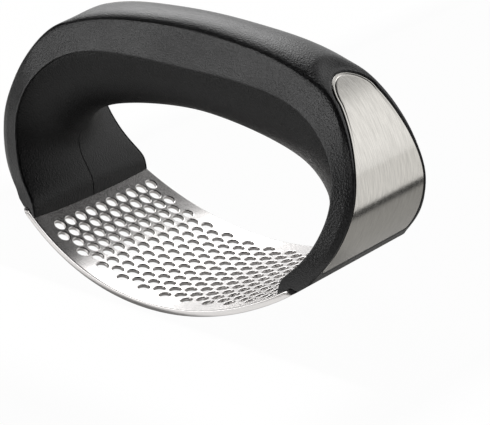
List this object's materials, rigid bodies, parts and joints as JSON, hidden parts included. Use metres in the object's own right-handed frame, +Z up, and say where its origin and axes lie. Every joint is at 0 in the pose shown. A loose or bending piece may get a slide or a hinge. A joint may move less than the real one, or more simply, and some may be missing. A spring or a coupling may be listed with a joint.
{
  "type": "garlic press",
  "caption": "Rocker garlic press: a curved perforated steel plate held under a hollow black arched handle with brushed steel trims on its legs.",
  "frame": {"origin": "middle of the plate's lowest line, where the press touches the board", "axes": "+X along the arch towards the right leg, +Y from front to back across the plate, +Z up"},
  "size_m": [0.0954, 0.0444, 0.0599],
  "materials": {
    "plate_steel": "satin stainless, punched",
    "trim_steel": "brushed stainless, streaks along the leg",
    "shell_black": "fine grained black, satin crown",
    "liner_black": "fine grained black",
    "tape_foam": "foam tape",
    "screw_zinc": "zinc plated"
  },
  "bodies": {
    "root": {"press_plate": "plate_steel", "handle_outer_shell": "shell_black", "handle_inner_liner": "liner_black", "trim_right": "trim_steel", "trim_left": "trim_steel", "trim_tape_right": "tape_foam", "trim_tape_left": "tape_foam", "screw_right_front": "screw_zinc", "screw_right_back": "screw_zinc", "screw_left_front": "screw_zinc", "screw_left_back": "screw_zinc"}
  },
  "joints": []
}
